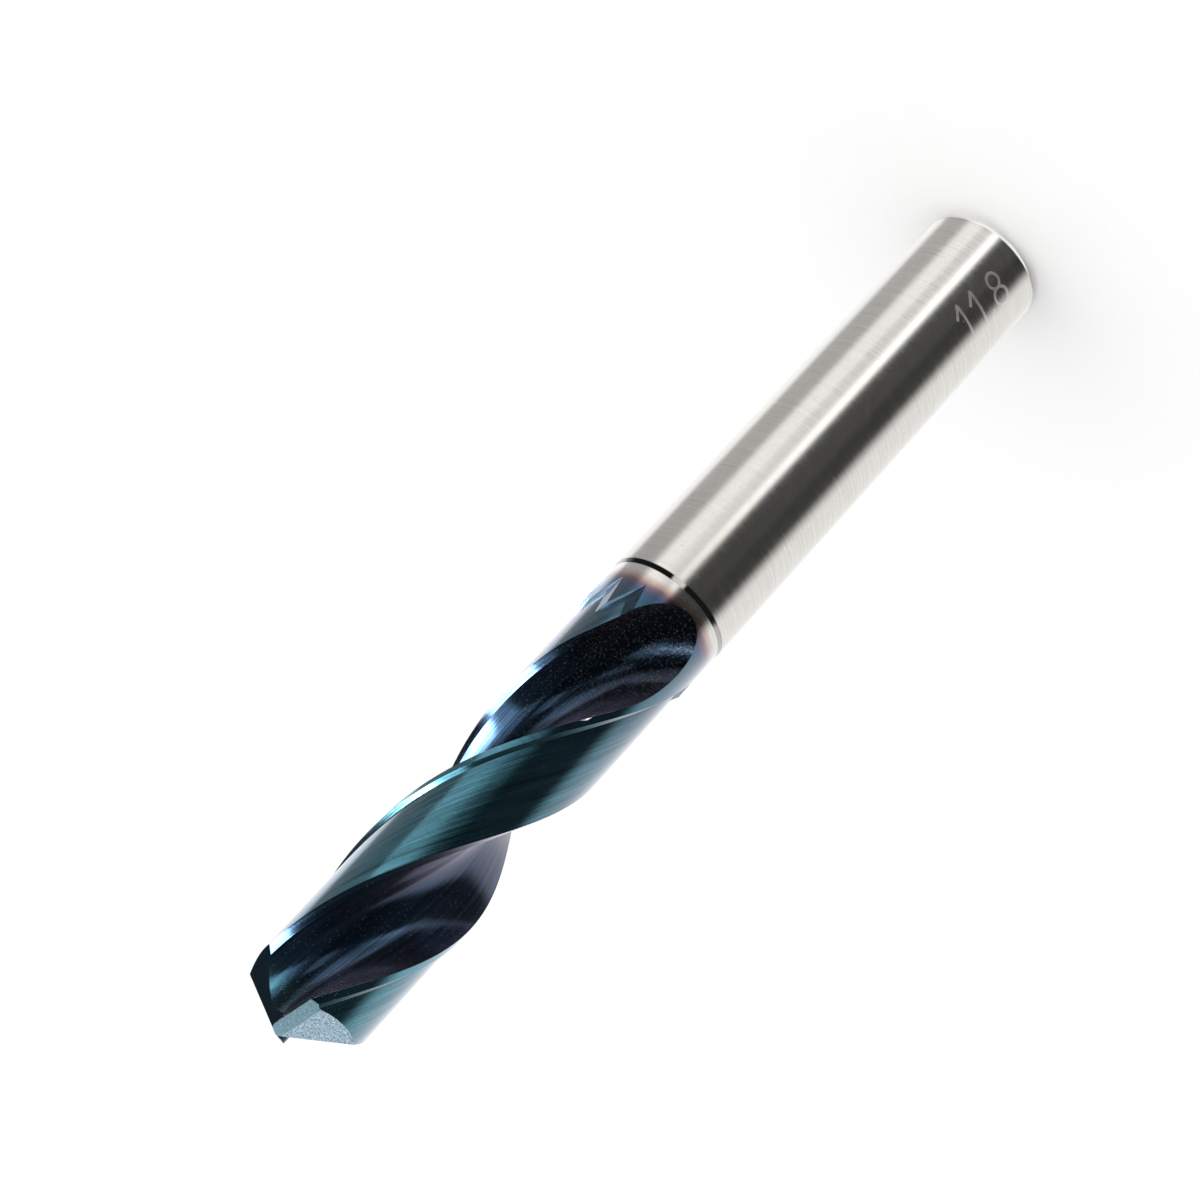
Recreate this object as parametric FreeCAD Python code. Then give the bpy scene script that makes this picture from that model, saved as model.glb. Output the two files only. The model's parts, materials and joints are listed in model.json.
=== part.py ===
"""Solid carbide stub drill: plain shank, two right-hand flutes and a self-centring four-facet point.

Millimetres. The drill stands on its shank end: the origin is the centre of that end and +Z runs along
the axis to the point. Angles about the axis are in degrees, anticlockwise seen from the point, which
is also the way the flutes wind towards the point. The first cutting edge points to the front, -Y.
The drill is one piece and is made as it is ground: a round blank, then the land clearance, the
flutes, the point and the thinning of the web.
"""
import math
import os

import FreeCAD
import Part
from FreeCAD import Vector

# Blank
OVERALL_LENGTH = 102.0
SHANK_DIAMETER = 12.0
CUTTING_DIAMETER = 11.8
BODY_LENGTH = 52.55         # shoulder to the tip of the point
SHANK_END_CHAMFER = 1.0
SHOULDER_BEVEL = 0.5        # axial length of the bevel between shank and body

# Flutes
HELIX_ANGLE = 29.7          # at the cutting diameter
LIP_AZIMUTH = -90.0         # direction of the first cutting edge
FLUTE_RADIUS = 3.5          # round floor of the flute
HEEL_FACE_ANGLE = 102.3     # flat side of the flute, from the cutting edge's direction
HEEL_BEVEL_START = 4.93     # distance from the axis where the flat side opens out
HEEL_BEVEL_ANGLE = 31.0     # how far it opens out
RUNOUT_START = 12.55        # height above the shoulder where the flute wheel starts to lift
RUNOUT_RADIUS = 13.8       # arc of that lift
RUNOUT_DIRECTION = 103.6    # way the wheel leaves, from the cutting edge's direction
FLUTE_END = 1.0             # height above the shoulder where the wheel is well clear

# Land
MARGIN_WIDTH = 0.66         # along the circumference
MARGIN_WALL = 0.44          # width of the sloping step behind the margin
CLEARANCE_DEPTH = 0.3       # how far the land behind the margin is ground down
LAND_RUNOUT = 2.3           # height above the shoulder where the land clearance ends
LAND_BLEND = 7.6            # height above it from where the passes make one round land
# Where the wheel stops in the pass that leaves the margin, and then the wall and the wheel stop of
# each later pass, all in degrees behind the margin's leading edge at the height of LAND_RUNOUT
FIRST_PASS_STOP = -23.0
LATER_PASSES = ((19.0, 2.0), (41.0, 26.0), (66.0, 52.0))
WHEEL_STOP_DEPTH = 0.19     # depth of the wheel's flat at LAND_RUNOUT
WHEEL_TILT = 4.3            # how far that flat dips towards the point
PASS_OVERLAP = 5.0
HEEL_OVERLAP = 8.0          # how far the clearance runs past the heel, in degrees

# Point
POINT_ANGLE = 135.0
LIP_AHEAD = 1.03            # how far each cutting edge runs ahead of the axis
PRIMARY_WIDTH = 1.25
PRIMARY_CLEARANCE = 6.0
SECONDARY_CLEARANCE = 21.4
THINNING_RADIUS = 1.25      # rounded inner end of each cutting edge
THINNING_CROSSING = 0.1     # how far that round end reaches past the axis
THINNING_FALL = 42.1        # slope of the thinning face across the cutting edge
THINNING_DRIFT = 18.6       # its slope along the cutting edge
THINNING_DROP = 0.03        # how far below the tip it crosses the axis
EDGE_RELIEF = 3.0           # angle by which the thinning wheel stays clear of the cutting edge

# Chip on the second margin's leading edge
CHIP_HEIGHT = 15.45         # above the shoulder
CHIP_LENGTH = 1.05
CHIP_DEPTH = 0.12

# How the helical cutters are built up
TURN_PER_SECTION = 12.0
RUNOUT_STEP = 0.9

# Worked out from the above
body_radius = CUTTING_DIAMETER / 2
shank_radius = SHANK_DIAMETER / 2
land_radius = body_radius - CLEARANCE_DEPTH
shoulder = OVERALL_LENGTH - BODY_LENGTH
lip_slope = 1 / math.tan(math.radians(POINT_ANGLE / 2))
primary_slope = math.tan(math.radians(PRIMARY_CLEARANCE))
secondary_slope = math.tan(math.radians(SECONDARY_CLEARANCE))
corner_x = math.sqrt(body_radius ** 2 - LIP_AHEAD ** 2)
corner_angle = math.degrees(math.atan2(LIP_AHEAD, corner_x))
corner_height = OVERALL_LENGTH - corner_x * lip_slope + LIP_AHEAD * primary_slope
twist = math.degrees(math.tan(math.radians(HELIX_ANGLE)) / body_radius)
clear_radius = body_radius * 1.3
far_radius = body_radius * 1.9
top = OVERALL_LENGTH + 2.0
UP = Vector(0, 0, 1)
CENTRE = Vector(0, 0, 0)


def polar(radius, angle, height=0.0):
    """Point at a radius, an angle in degrees and a height."""
    turn = math.radians(angle)
    return Vector(radius * math.cos(turn), radius * math.sin(turn), height)


def turned(shape, angle):
    """Copy of a shape turned about the axis."""
    copy = shape.copy()
    copy.rotate(CENTRE, UP, angle)
    return copy


def helix_turn(height):
    """How far the flutes have turned at a height, counted from the cutting corner."""
    return twist * (height - corner_height)


def steps(low, high, most):
    """Even steps from low to high, no longer than most."""
    count = math.ceil((high - low) / most)
    return [low + (high - low) * i / count for i in range(count + 1)]


def root(function, low, high):
    """Where a function changes sign between low and high."""
    sign = function(low) > 0
    for _ in range(50):
        middle = (low + high) / 2
        if (function(middle) > 0) == sign:
            low = middle
        else:
            high = middle
    return (low + high) / 2


def blank():
    """Turned blank: shank with a chamfered end, shoulder bevel and round body."""
    outline = [
        CENTRE,
        Vector(shank_radius - SHANK_END_CHAMFER, 0, 0),
        Vector(shank_radius, 0, SHANK_END_CHAMFER),
        Vector(shank_radius, 0, shoulder),
        Vector(body_radius, 0, shoulder + SHOULDER_BEVEL),
        Vector(body_radius, 0, top),
        Vector(0, 0, top),
        CENTRE,
    ]
    return Part.Face(Part.makePolygon(outline)).revolve(CENTRE, UP, 360)


def rake_point(radius):
    """Point of the flute's cutting side, curved so that the ground cutting edge is straight."""
    along = math.sqrt(radius ** 2 - LIP_AHEAD ** 2)
    angle = math.degrees(math.asin(LIP_AHEAD / radius))
    return polar(radius, angle - twist * lip_slope * (corner_x - along))


def floor_centre(radius):
    """Centre of a flute floor that leaves the cutting side smoothly at a radius."""
    here = rake_point(radius)
    ahead = (rake_point(radius * 1.001) - here).normalize()
    return here + UP.cross(ahead) * FLUTE_RADIUS


def flute_profile():
    """Outline of the space in the first flute, in the plane of its cutting corner.

    Cutting side, round floor, flat heel side and its opened edge, then closed outside the blank.
    """
    heel_way = polar(1, HEEL_FACE_ANGLE)
    beside_heel = UP.cross(heel_way) * -1

    def room(radius):
        return floor_centre(radius).dot(beside_heel) - FLUTE_RADIUS

    floor_start = root(room, LIP_AHEAD * 1.2, body_radius)
    centre = floor_centre(floor_start)
    rake = [rake_point(radius) for radius in steps(floor_start, clear_radius, body_radius / 8)]
    floor_end = heel_way * centre.dot(heel_way)
    floor_middle = centre - Vector(centre).normalize() * FLUTE_RADIUS
    heel_start = heel_way * HEEL_BEVEL_START
    bevel_way = polar(1, HEEL_FACE_ANGLE + HEEL_BEVEL_ANGLE)
    heel_end = heel_start + bevel_way * (clear_radius - HEEL_BEVEL_START)
    outer = polar(far_radius, HEEL_FACE_ANGLE / 2)
    rake_curve = Part.BSplineCurve()
    rake_curve.interpolate(rake)
    return Part.Wire([
        rake_curve.toShape(),
        Part.Arc(rake[0], floor_middle, floor_end).toShape(),
        Part.makeLine(floor_end, heel_start),
        Part.makeLine(heel_start, heel_end),
        Part.makeLine(heel_end, outer),
        Part.makeLine(outer, rake[-1]),
    ])


def flute_lift(height):
    """How far the wheel has lifted out of the flute at a height."""
    before_end = shoulder + RUNOUT_START - height
    if before_end <= 0:
        return 0.0
    return RUNOUT_RADIUS - math.sqrt(RUNOUT_RADIUS ** 2 - before_end ** 2)


def flute():
    """Space that the wheel grinds out for the first flute, with its run-out at the neck."""
    profile = flute_profile()
    leave_way = polar(1, RUNOUT_DIRECTION)
    runout = steps(shoulder + FLUTE_END, shoulder + RUNOUT_START, RUNOUT_STEP)
    steady = steps(shoulder + RUNOUT_START, top, TURN_PER_SECTION / twist)
    sections = []
    for height in runout + steady[1:]:
        section = profile.copy()
        section.translate(leave_way * flute_lift(height))
        section.rotate(CENTRE, UP, helix_turn(height))
        section.translate(UP * height)
        sections.append(section)
    return Part.makeLoft(sections, True, False)


def land_band(front, back, low, high, slant=0.0):
    """Helical band of the first land between two walls, in degrees from the lip, and two heights.

    The slant is how many degrees the front wall falls back between the margin and the land.
    """
    wall_top = polar(body_radius, front)
    wall_foot = polar(land_radius, front - slant)
    wall = (wall_top - wall_foot) * (1 / CLEARANCE_DEPTH)
    corners = [polar(clear_radius, angle) for angle in steps(back, front, 30.0)[:-1]]
    corners.append(wall_foot + wall * (clear_radius - land_radius))
    corners.append(wall_foot - wall * CLEARANCE_DEPTH)
    corners.append(polar(land_radius - CLEARANCE_DEPTH * 2, back))
    outline = Part.makePolygon(corners + corners[:1])
    sections = []
    for height in steps(low, high, TURN_PER_SECTION / twist):
        section = turned(outline, helix_turn(height))
        section.translate(UP * height)
        sections.append(section)
    return Part.makeLoft(sections, True, False)


def slab(on_plane, outward, along, size):
    """Block of three sizes that hangs inward from a plane, with one side at a point of the plane."""
    x_axis = Vector(outward).normalize()
    y_axis = Vector(along).normalize()
    z_axis = x_axis.cross(y_axis)
    block = Part.makeBox(size[0], size[1], size[2], Vector(-size[0], 0, -size[2] / 2))
    block.Placement = FreeCAD.Placement(on_plane, FreeCAD.Rotation(x_axis, y_axis, z_axis, "ZXY"))
    return block


def wheel_stop(angle):
    """Stock that a clearance pass leaves where its wheel stops, as a flat that faces an angle."""
    outward = polar(1, angle) + UP * math.tan(math.radians(WHEEL_TILT))
    foot = polar(body_radius - WHEEL_STOP_DEPTH, angle, shoulder + LAND_RUNOUT)
    reach = 2.4 * body_radius
    return slab(foot, outward, polar(1, angle - 90), (reach, reach, 3 * LAND_BLEND))


def land_clearance():
    """Stock ground off behind the first margin, in passes that end in pointed run-outs."""
    low = shoulder + LAND_RUNOUT / 2
    blend = shoulder + LAND_BLEND
    heel = HEEL_FACE_ANGLE - 180 - HEEL_OVERLAP
    margin_back = corner_angle - math.degrees(MARGIN_WIDTH / body_radius)
    slant = math.degrees(MARGIN_WALL / body_radius)
    edge_at_runout = corner_angle + helix_turn(shoulder + LAND_RUNOUT)
    walls = [corner_angle - wall for wall, stop in LATER_PASSES]
    ends = [wall - PASS_OVERLAP for wall in walls[1:]] + [heel - PASS_OVERLAP]
    first_pass = land_band(margin_back, walls[0] - PASS_OVERLAP, low, top, slant)
    land = [first_pass.cut(wheel_stop(edge_at_runout - FIRST_PASS_STOP))]
    land.append(land_band(walls[0] + PASS_OVERLAP / 2, heel, blend, top))
    for wall, end, (_, stop) in zip(walls, ends, LATER_PASSES):
        band = land_band(wall, end, low, blend)
        land.append(band.cut(wheel_stop(edge_at_runout - stop)))
    ring = Part.makeCylinder(clear_radius, top, UP * shoulder)
    ring = ring.cut(Part.makeCylinder(land_radius, top, UP * shoulder))
    return [ring.common(band) for band in land]


def above_plane(through, slope_x, slope_y):
    """Everything above the plane through a point that falls by two slopes along +X and +Y."""
    normal = Vector(slope_x, slope_y, 1)
    across = Vector(1, 0, -slope_x)
    size = 4 * body_radius
    block = slab(through, normal * -1, across, (size, size, size))
    block.translate(Vector(across).normalize() * (-size / 2))
    return block


def point_facets():
    """Stock above the primary and secondary clearance of the first cutting edge."""
    primary = above_plane(Vector(0, 0, OVERALL_LENGTH), lip_slope, -primary_slope)
    crease = LIP_AHEAD - PRIMARY_WIDTH
    on_crease = Vector(0, crease, OVERALL_LENGTH + crease * primary_slope)
    secondary = above_plane(on_crease, lip_slope, -secondary_slope)
    return [primary, secondary]


def thinning():
    """Notch ahead of the first cutting edge that thins the web and rounds the edge's inner end."""
    middle = Vector(THINNING_RADIUS - THINNING_CROSSING, LIP_AHEAD - THINNING_RADIUS, 0)
    start = middle + polar(THINNING_RADIUS, 180)
    halfway = middle + polar(THINNING_RADIUS, 135)
    end = middle + polar(THINNING_RADIUS, 90)
    side = far_radius
    clear = end + polar(side, EDGE_RELIEF)
    plan = Part.Wire([
        Part.Arc(start, halfway, end).toShape(),
        Part.makeLine(end, clear),
        Part.makeLine(clear, Vector(clear.x, side, 0)),
        Part.makeLine(Vector(clear.x, side, 0), Vector(-side, side, 0)),
        Part.makeLine(Vector(-side, side, 0), Vector(-side, start.y, 0)),
        Part.makeLine(Vector(-side, start.y, 0), start),
    ])
    prism = Part.Face(plan).extrude(UP * 2 * body_radius)
    prism.translate(UP * (OVERALL_LENGTH - 1.5 * body_radius))
    drift = math.tan(math.radians(THINNING_DRIFT))
    fall = math.tan(math.radians(THINNING_FALL))
    return prism.common(above_plane(UP * (OVERALL_LENGTH - THINNING_DROP), drift, fall))


def chip():
    """Shell-shaped chip in the leading edge of the second margin."""
    ball_radius = (CHIP_LENGTH ** 2 / 4 + CHIP_DEPTH ** 2) / (2 * CHIP_DEPTH)
    height = shoulder + CHIP_HEIGHT
    angle = corner_angle + 180 + helix_turn(height)
    edge = polar(body_radius, angle, height)
    outward = polar(1, angle + 45)
    return Part.makeSphere(ball_radius, edge + outward * (ball_radius - CHIP_DEPTH))


def drill_bit():
    """The whole drill, with everything that is ground twice turned half round for the second time."""
    cuts = []
    for start in (0, 180):
        ground = land_clearance() + [flute(), thinning()] + point_facets()
        cuts.extend(turned(shape, start) for shape in ground)
    cuts.append(chip())
    body = blank()
    for cut in cuts:
        body = body.cut(cut)
    return turned(body.removeSplitter(), LIP_AZIMUTH)


def main():
    os.makedirs("parts", exist_ok=True)
    drill_bit().exportStep("parts/drill_bit.step")


if __name__ == "__main__":
    main()
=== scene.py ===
"""Solid carbide stub drill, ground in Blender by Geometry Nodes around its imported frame.

Lengths are in metres and angles in radians, in the frame's own axes: the drill stands on its shank end
at the origin with its point along +Z. The cutters are made with the first cutting edge along +X, and
the finished drill is turned so that this edge points along -Y.
"""

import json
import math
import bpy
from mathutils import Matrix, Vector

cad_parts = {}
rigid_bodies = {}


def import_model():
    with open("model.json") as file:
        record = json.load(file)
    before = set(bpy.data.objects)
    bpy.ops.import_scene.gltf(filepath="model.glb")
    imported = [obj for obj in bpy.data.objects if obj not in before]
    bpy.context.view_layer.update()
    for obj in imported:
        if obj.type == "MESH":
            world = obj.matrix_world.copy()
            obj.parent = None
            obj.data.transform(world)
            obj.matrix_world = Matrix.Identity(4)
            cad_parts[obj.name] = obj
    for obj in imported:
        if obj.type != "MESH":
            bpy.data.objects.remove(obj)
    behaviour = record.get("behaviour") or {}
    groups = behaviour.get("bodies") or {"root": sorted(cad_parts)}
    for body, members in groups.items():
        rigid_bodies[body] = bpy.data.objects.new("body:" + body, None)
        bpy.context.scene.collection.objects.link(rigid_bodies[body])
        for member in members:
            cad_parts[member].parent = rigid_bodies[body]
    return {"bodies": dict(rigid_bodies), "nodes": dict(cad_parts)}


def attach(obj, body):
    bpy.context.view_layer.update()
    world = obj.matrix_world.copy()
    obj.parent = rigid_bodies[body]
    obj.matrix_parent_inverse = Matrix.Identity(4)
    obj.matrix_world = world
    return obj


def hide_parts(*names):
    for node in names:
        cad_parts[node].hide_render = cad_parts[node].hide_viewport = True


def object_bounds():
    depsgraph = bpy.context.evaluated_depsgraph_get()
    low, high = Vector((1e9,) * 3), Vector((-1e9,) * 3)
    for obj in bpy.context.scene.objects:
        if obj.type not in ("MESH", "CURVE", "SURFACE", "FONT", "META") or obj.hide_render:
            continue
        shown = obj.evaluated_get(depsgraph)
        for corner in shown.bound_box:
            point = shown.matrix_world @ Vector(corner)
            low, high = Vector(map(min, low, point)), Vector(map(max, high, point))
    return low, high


bl_info = {
    "name": "Carbide Stub Drill",
    "version": (1, 0, 0),
    "blender": (4, 5, 0),
    "location": "3D View > Sidebar > Drill",
    "description": "Grinds a two-flute stub drill from a round blank and sets it on a studio floor",
    "category": "Object",
}

import bpy
from mathutils import Matrix, Vector

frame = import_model()
cad_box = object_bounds()

MM = 0.001
HALF_TURN = math.pi
QUARTER_TURN = math.pi / 2
BODY = next(iter(frame["bodies"]))
NODE = next(iter(frame["nodes"]))


def length(name, millimetres, description):
    """A length that the user can change."""
    return bpy.props.FloatProperty(
        name=name, description=description, default=millimetres * MM, unit="LENGTH", precision=5
    )


def angle(name, degrees, description):
    """An angle that the user can change."""
    return bpy.props.FloatProperty(
        name=name, description=description, default=math.radians(degrees), subtype="ANGLE"
    )


def factor(name, default, description):
    """A plain number that the user can change."""
    return bpy.props.FloatProperty(name=name, description=description, default=default)


def colour(name, default, description):
    """A colour that the user can change."""
    return bpy.props.FloatVectorProperty(
        name=name, description=description, default=default, subtype="COLOR", min=0.0, max=1.0
    )


class DRILL_PG_sizes(bpy.types.PropertyGroup):
    """Sizes of the blank, the flutes, the land and the point."""

    overall_length: length("Overall length", (cad_box[1][2] - cad_box[0][2]) / MM, "Shank end to tip")
    shank_diameter: length("Shank diameter", 12.0, "Diameter of the plain shank")
    cutting_diameter: length("Cutting diameter", 11.8, "Diameter over the margins")
    body_length: length("Body length", 52.55, "Shoulder to the tip of the point")
    end_chamfer: length("End chamfer", 1.0, "Chamfer of the shank end")
    shoulder_bevel: length("Shoulder bevel", 0.5, "Axial length of the bevel between shank and body")
    helix_angle: angle("Helix angle", 29.7, "Helix angle at the cutting diameter")
    flute_radius: length("Flute radius", 3.5, "Radius of the round flute floor")
    heel_angle: angle("Heel angle", 102.3, "Flat side of the flute, from the cutting edge")
    heel_bevel_start: length("Heel bevel start", 4.93, "Distance from the axis where it opens out")
    heel_bevel_angle: angle("Heel bevel angle", 31.0, "How far the heel side opens out")
    runout_start: length("Run-out start", 12.55, "Height above the shoulder where the wheel lifts")
    runout_radius: length("Run-out radius", 13.8, "Arc of that lift")
    runout_direction: angle("Run-out direction", 103.6, "Way the wheel leaves")
    flute_end: length("Flute end", 1.0, "Height above the shoulder where the wheel is clear")
    margin_width: length("Margin width", 0.66, "Width of the margin along the circumference")
    margin_wall: length("Margin wall", 0.38, "Width of the sloping step behind the margin")
    clearance: length("Clearance", 0.3, "How far the land behind the margin is ground down")
    land_runout: length("Land run-out", 2.3, "Height above the shoulder where the land clearance ends")
    land_blend: length("Land blend", 7.6, "Height above it where the passes have become one land")
    stop_depth: length("Stop depth", 0.19, "Depth of the wheel's flat at the land run-out")
    wheel_tilt: angle("Wheel tilt", 4.3, "How far that flat dips towards the point")
    point_angle: angle("Point angle", 135.0, "Angle between the cutting edges")
    lip_ahead: length("Lip ahead", 1.03, "How far a cutting edge runs ahead of the axis")
    primary_width: length("Primary width", 1.25, "Width of the first clearance facet")
    primary_clearance: angle("Primary clearance", 6.0, "Slope of the first clearance facet")
    secondary_clearance: angle("Secondary clearance", 21.4, "Slope of the second clearance facet")
    thinning_radius: length("Thinning radius", 1.25, "Rounded inner end of a cutting edge")
    thinning_crossing: length("Thinning crossing", 0.1, "How far that end reaches past the axis")
    thinning_fall: angle("Thinning fall", 42.1, "Slope of the thinning face across the cutting edge")
    thinning_drift: angle("Thinning drift", 18.6, "Its slope along the cutting edge")
    thinning_drop: length("Thinning drop", 0.03, "How far below the tip it crosses the axis")
    edge_relief: angle("Edge relief", 3.0, "How far the thinning wheel stays clear of the edge")
    chip_height: length("Chip height", 15.7, "Height above the shoulder of the chip in the margin")
    chip_length: length("Chip length", 1.2, "Length of that chip")
    chip_depth: length("Chip depth", 0.08, "Depth of that chip")
    section_step: length("Section step", 0.4, "Height between two sections of a cutter")
    blank_segments: bpy.props.IntProperty(
        name="Blank segments", description="Sides of the round blank", default=256, min=3
    )


# Grinding passes of the land behind the first: wall and wheel stop, in degrees behind the margin's
# leading edge at the height of the run-out, after the stop of the first pass
FIRST_PASS_STOP = -23.0
LATER_PASSES = ((19.0, 2.0), (41.0, 26.0), (66.0, 52.0))
PASS_OVERLAP = math.radians(5.0)
HEEL_OVERLAP = math.radians(8.0)

# Steps of the outlines: along the flute's cutting side, in its heel side, and as turns around a ground
# face, the end of a cutting edge, the inside of a pass and a face that cuts only air
RAKE_STEP = 0.4 * MM
HEEL_STEPS = 6
GROUND_TURN = 0.035
EDGE_TURN = 0.08
PASS_TURN = 0.2
AIR_TURN = 0.5

# Distances within which points of a cutter, and of the ground drill, are one
CUTTER_MERGE = 2e-6
DRILL_MERGE = 2e-7

# Edges that bend less are smooth, and faces of a wheel stop that face outwards less are its walls
SMOOTH_BEND = math.radians(8)
WALL_FACING = 0.6

# Where the cutter of the land and those of its passes start, over the height of the run-out
LAND_START = 0.5
PASS_START = 0.4

# Side of a grinding flat's block, reach of a wheel stop and of the thinning, over the body's radius
FLAT_SIZE = 8.0
STOP_REACH = 3.0
NOTCH_REACH = 1.5

# Break in the margin: its fineness, the noise above which it bites deeper, and how deep over the chip
BREAKS_PER_METRE = 4500.0
BREAK_LEVEL = 0.55
BREAK_DEPTH = 4.0

# A drill that was ground rightly has far more faces
FEWEST_FACES = 5000


def polar(radius, turn, height=0.0):
    """Point at a radius, an angle and a height."""
    return Vector((radius * math.cos(turn), radius * math.sin(turn), height))


def steps(low, high, most):
    """Even steps from low to high, no longer than most."""
    number = max(1, math.ceil(abs(high - low) / most))
    return [low + (high - low) * i / number for i in range(number + 1)]


def root(function, low, high):
    """Where a function changes sign between low and high."""
    sign = function(low) > 0
    for _ in range(50):
        middle = (low + high) / 2
        if (function(middle) > 0) == sign:
            low = middle
        else:
            high = middle
    return (low + high) / 2


class DrillShape:
    """What follows from the sizes: radii, heights, the helix and the outlines of the cutters."""

    def __init__(self, sizes):
        self.sizes = sizes
        self.body_radius = sizes.cutting_diameter / 2
        self.land_radius = self.body_radius - sizes.clearance
        self.shoulder = sizes.overall_length - sizes.body_length
        self.lip_slope = 1 / math.tan(sizes.point_angle / 2)
        self.primary_slope = math.tan(sizes.primary_clearance)
        self.corner_x = math.sqrt(self.body_radius ** 2 - sizes.lip_ahead ** 2)
        self.corner_angle = math.atan2(sizes.lip_ahead, self.corner_x)
        rise = sizes.lip_ahead * self.primary_slope
        self.corner_height = sizes.overall_length - self.corner_x * self.lip_slope + rise
        self.twist = math.tan(sizes.helix_angle) / self.body_radius
        self.clear_radius = self.body_radius * 1.3
        self.far_radius = self.body_radius * 1.9
        self.top = sizes.overall_length + 2 * MM

    def rake_point(self, radius):
        """Point of the flute's cutting side, curved so that the ground cutting edge is straight."""
        ahead = self.sizes.lip_ahead
        along = math.sqrt(radius ** 2 - ahead ** 2)
        drift = self.twist * self.lip_slope * (self.corner_x - along)
        return polar(radius, math.asin(ahead / radius) - drift)

    def floor_centre(self, radius):
        """Centre of a flute floor that leaves the cutting side smoothly at a radius."""
        here = self.rake_point(radius)
        ahead = (self.rake_point(radius * 1.001) - here).normalized()
        return here + Vector((-ahead.y, ahead.x, 0)) * self.sizes.flute_radius

    def flute_outline(self):
        """Cutting side, round floor, flat heel side and its bevel, closed outside the blank."""
        sizes = self.sizes
        heel_way = polar(1, sizes.heel_angle)
        beside_heel = polar(1, sizes.heel_angle - QUARTER_TURN)

        def room(radius):
            return self.floor_centre(radius).dot(beside_heel) - sizes.flute_radius

        floor_start = root(room, sizes.lip_ahead * 1.2, self.body_radius)
        centre = self.floor_centre(floor_start)
        rake = [self.rake_point(r) for r in steps(self.clear_radius, floor_start, RAKE_STEP)]
        floor_end = heel_way * centre.dot(heel_way)
        first = rake[-1] - centre
        last = floor_end - centre
        start = math.atan2(first.y, first.x)
        sweep = (math.atan2(last.y, last.x) - start) % (-2 * HALF_TURN)
        floor = [centre + polar(sizes.flute_radius, start + turn) for turn in steps(0, sweep, GROUND_TURN)]
        heel_start = heel_way * sizes.heel_bevel_start
        bevel_way = polar(1, sizes.heel_angle + sizes.heel_bevel_angle)
        heel_end = heel_start + bevel_way * (self.clear_radius - sizes.heel_bevel_start)
        heel = [floor_end.lerp(heel_start, i / HEEL_STEPS) for i in range(1, HEEL_STEPS + 1)]
        outer = polar(self.far_radius, sizes.heel_angle / 2)
        outline = rake + floor[1:] + heel + [heel_end, outer]
        return outline[::-1]

    def band_outline(self, front, back, inner, slant=0.0, turn=PASS_TURN):
        """Sector behind a wall of the land, between two angles and outside an inner radius."""
        wall_top = polar(self.body_radius, front)
        wall_foot = polar(self.land_radius, front - slant)
        wall = (wall_top - wall_foot) / self.sizes.clearance
        outer = [polar(self.clear_radius, around) for around in steps(back, front, AIR_TURN)[:-1]]
        outer.append(wall_foot + wall * (self.clear_radius - self.land_radius))
        return outer + [polar(inner, around) for around in steps(front - slant, back, turn)]

    def thinning_outline(self):
        """Plan of the notch that thins the web, with the round inner end of the cutting edge."""
        sizes = self.sizes
        radius = sizes.thinning_radius
        middle = Vector((radius - sizes.thinning_crossing, sizes.lip_ahead - radius, 0))
        round_end = [middle + polar(radius, turn) for turn in steps(HALF_TURN, QUARTER_TURN, EDGE_TURN)]
        side = self.far_radius
        clear = round_end[-1] + polar(side, sizes.edge_relief)
        corners = [Vector((clear.x, side, 0)), Vector((-side, side, 0)), Vector((-side, middle.y, 0))]
        return round_end + [clear] + corners

    def passes(self):
        """Wheel stop of each pass of the land, and the outline of every cutter by its name."""
        margin_back = self.corner_angle - self.sizes.margin_width / self.body_radius
        slant = self.sizes.margin_wall / self.body_radius
        walls = [self.corner_angle - math.radians(wall) for wall, _ in LATER_PASSES]
        stops = [math.radians(FIRST_PASS_STOP)] + [math.radians(stop) for _, stop in LATER_PASSES]
        heel = self.sizes.heel_angle - HALF_TURN - HEEL_OVERLAP
        fronts = [margin_back + PASS_OVERLAP] + [wall + PASS_OVERLAP for wall in walls]
        backs = walls + [heel - PASS_OVERLAP]
        deep = self.land_radius - 2 * self.sizes.clearance
        outlines = {
            "Flute outline": self.flute_outline(),
            "Land outline": self.band_outline(margin_back, heel, self.land_radius, slant, GROUND_TURN),
            "Thinning outline": self.thinning_outline(),
        }
        for number, (front, back) in enumerate(zip(fronts, backs), 1):
            outlines[f"Pass {number} outline"] = self.band_outline(front, back, deep)
        return stops, outlines


class Value:
    """Output of a node. Sums of outputs are written as sums, and each adds its node."""

    def __init__(self, wires, socket):
        self.wires = wires
        self.socket = socket

    def __add__(self, other):
        return self.wires.math("ADD", self, other)

    def __sub__(self, other):
        return self.wires.math("SUBTRACT", self, other)

    def __rsub__(self, other):
        return self.wires.math("SUBTRACT", other, self)

    def __mul__(self, other):
        return self.wires.math("MULTIPLY", self, other)

    def __truediv__(self, other):
        return self.wires.math("DIVIDE", self, other)

    def __neg__(self):
        return self.wires.math("MULTIPLY", self, -1.0)


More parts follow.
